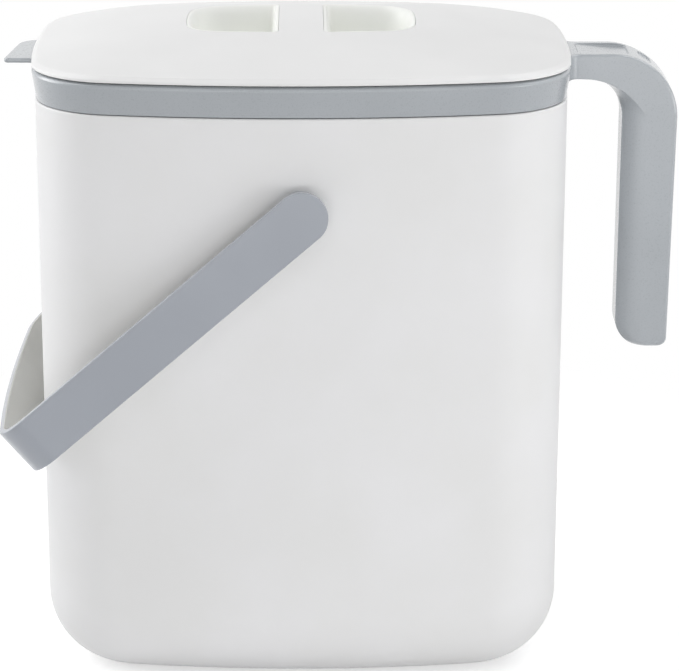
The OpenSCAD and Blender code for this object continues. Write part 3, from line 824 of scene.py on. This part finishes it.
# Plug and sealing ring, seen when the lid is off.
plug_low, plug_high = (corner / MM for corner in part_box("lid_liner"))
plug_outer = 4.2
plug_wall = 3.6
plug_plate = 1.8
liner_z = collar_top + lift_gap
seal_low, seal_high = (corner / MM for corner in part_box("lid_seal"))
groove_gap = 0.05
groove_low, groove_high = seal_low.z - groove_gap, seal_high.z + groove_gap
groove_depth = 1.6
liner_gap = 0.1
liner_outer = lid_wall - flare + liner_gap
plug = moulding("lid_plug", *join_rings(profile_rings(
    arc((plug_outer + rim_edge, plug_low.z + rim_edge), rim_edge, 270, 180, 6)
    + [(plug_outer, groove_low), (plug_outer + groove_depth, groove_low),
       (plug_outer + groove_depth, groove_high), (plug_outer, groove_high), (plug_outer, liner_z),
       (liner_outer, liner_z), (liner_outer, plug_high.z), (plug_outer + plug_wall, plug_high.z),
       (plug_outer + plug_wall, plug_low.z + plug_plate)])), satin_white_polypropylene)
smooth(plug)
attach(plug, "lid")
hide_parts("lid_liner")

# Moulded silicone: soft, slightly blue-grey, and duller than the plastic round it. Its outside has
# two round lips.
grey_silicone = moulded_plastic("grey_silicone", "#d2d4d4", "#cccfcf", 0.55, 0.5, 0.006, 0.06, 1.41)
seal_outer, seal_inner = 3.8, plug_outer + groove_depth - groove_gap
seal_back, seal_lip, seal_lip_height = seal_outer + 0.9, 0.5, 0.7
seal = moulding("seal_ring", *join_rings(profile_rings(
    [(seal_inner, seal_low.z), (seal_back, seal_low.z)]
    + arc((seal_outer + seal_lip, seal_low.z + seal_lip_height), seal_lip, 270, 90, 8)
    + arc((seal_outer + seal_lip, seal_high.z - seal_lip_height), seal_lip, 270, 90, 8)
    + [(seal_back, seal_high.z), (seal_inner, seal_high.z)]), closed=True), grey_silicone)
smooth(seal)
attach(seal, "lid")
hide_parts("lid_seal")

# Studio
# A plain white sweep under soft boxes. What the camera and reflections see of it is white, and it
# keeps the shadow that the caddy throws.
studio = bpy.context.scene
studio.view_settings.view_transform = "Standard"


def what_is_seen(tree):
    """1 for what the camera or a reflection sees, and 0 for light on its way to the caddy."""
    rays = add_node(tree, "ShaderNodeLightPath").outputs
    mirrored = worked_out(tree, "MAXIMUM", rays["Is Glossy Ray"], rays["Is Transmission Ray"])
    return worked_out(tree, "MAXIMUM", rays["Is Camera Ray"], mirrored)


def sweep_material(name, shade, glow, near, far):
    """Matt paper, lit by the lamps near the caddy. The camera and reflections see it a little
    lighter than it is, and plain white further off, so that only the caddy's shadow shows."""
    material = bpy.data.materials.new(name)
    material.use_nodes = True
    tree = material.node_tree
    tree.nodes.clear()
    seen = what_is_seen(tree)
    paper = add_node(tree, "ShaderNodeBsdfDiffuse", {"Color": linear(shade)})
    lift = worked_out(tree, "MULTIPLY", seen, glow)
    light = add_node(tree, "ShaderNodeEmission", {"Strength": lift})
    both = add_node(tree, "ShaderNodeAddShader", {0: paper.outputs[0], 1: light.outputs[0]})
    white = add_node(tree, "ShaderNodeEmission", {"Strength": 1.0})
    place = add_node(tree, "ShaderNodeTexCoord").outputs["Object"]
    away = add_node(tree, "ShaderNodeVectorMath", {0: place}, operation="LENGTH").outputs["Value"]
    blend = add_node(tree, "ShaderNodeMapRange", {"Value": away, "From Min": near, "From Max": far},
                     interpolation_type="SMOOTHSTEP").outputs["Result"]
    share = worked_out(tree, "MULTIPLY", blend, seen)
    mixed = add_node(tree, "ShaderNodeMixShader", {0: share, 1: both.outputs[0], 2: white.outputs[0]})
    add_node(tree, "ShaderNodeOutputMaterial", {"Surface": mixed.outputs[0]})
    return material


floor_size = 3000
floor = moulding("floor", [(-floor_size, -floor_size, 0), (floor_size, -floor_size, 0),
                           (floor_size, floor_size, 0), (-floor_size, floor_size, 0)], [(0, 1, 2, 3)],
                 sweep_material("white_paper", "#e8e8e8", glow=0.5, near=0.15, far=0.4))

world = bpy.data.worlds.new("studio")
studio.world = world
world.use_nodes = True
sky = world.node_tree
sky.nodes.clear()
seen = what_is_seen(sky)
soft = add_node(sky, "ShaderNodeBackground", {"Color": linear("#ffffff"), "Strength": 0.2})
white = add_node(sky, "ShaderNodeBackground", {"Color": linear("#ffffff"), "Strength": 1.0})
either = add_node(sky, "ShaderNodeMixShader", {0: seen, 1: soft.outputs[0], 2: white.outputs[0]})
add_node(sky, "ShaderNodeOutputWorld", {"Surface": either.outputs[0]})


def soft_box(name, place, target, width, height, watts):
    """A rectangular lamp at a place, facing a target. Its sizes are in metres too."""
    lamp = bpy.data.lights.new(name, "AREA")
    lamp.shape, lamp.size, lamp.size_y, lamp.energy = "RECTANGLE", width, height, watts
    obj = bpy.data.objects.new(name, lamp)
    bpy.context.collection.objects.link(obj)
    obj.location = place
    obj.rotation_euler = (Vector(target) - Vector(place)).to_track_quat("-Z", "Y").to_euler()


middle = (0, 0, 0.14)
for name, place, target, width, height, watts in (
        ("key_right", (1.3, -1.1, 0.5), middle, 0.9, 1.2, 2.0),
        ("right_low", (1.2, -0.9, 0.15), (0, 0, 0.1), 0.9, 0.3, 4.4),
        ("side_right", (1.6, 0, 0.5), middle, 0.9, 1.2, 1.4),
        ("side_left", (-1.6, 0.4, 0.5), middle, 0.9, 1.2, 12.4),
        ("top_right", (0.9, 0.1, 1.4), middle, 1.0, 1.0, 7.4),
        ("top_left", (-0.9, 0.1, 1.4), middle, 1.0, 1.0, 9.1),
        ("front_high", (0, -1.4, 1.5), middle, 1.4, 0.8, 3.5),
        ("front_low", (0, -1.7, 0.12), (0, 0, 0.06), 1.4, 0.2, 6.0)):
    soft_box(name, place, target, width, height, watts)

# The camera stands 1.4 m off and 16 degrees above. Its shift, in pixels of the frame's width, moves
# the view right and down.
frame_width = 679
shift_right, shift_down = 37.95, 69.5
look_down, tilt = 15.845, -0.1
lens = bpy.data.cameras.new("camera")
camera = bpy.data.objects.new("camera", lens)
bpy.context.collection.objects.link(camera)
camera.location = (0, -1.32331, 0.54076)
camera.rotation_euler = (Matrix.Rotation(radians(90 - look_down), 3, "X")
                         @ Matrix.Rotation(radians(tilt), 3, "Z")).to_euler()
lens.sensor_width = 36
lens.lens = 170.803
lens.shift_x, lens.shift_y = shift_right / frame_width, -shift_down / frame_width
lens.clip_start, lens.clip_end = 0.05, 20
studio.camera = camera
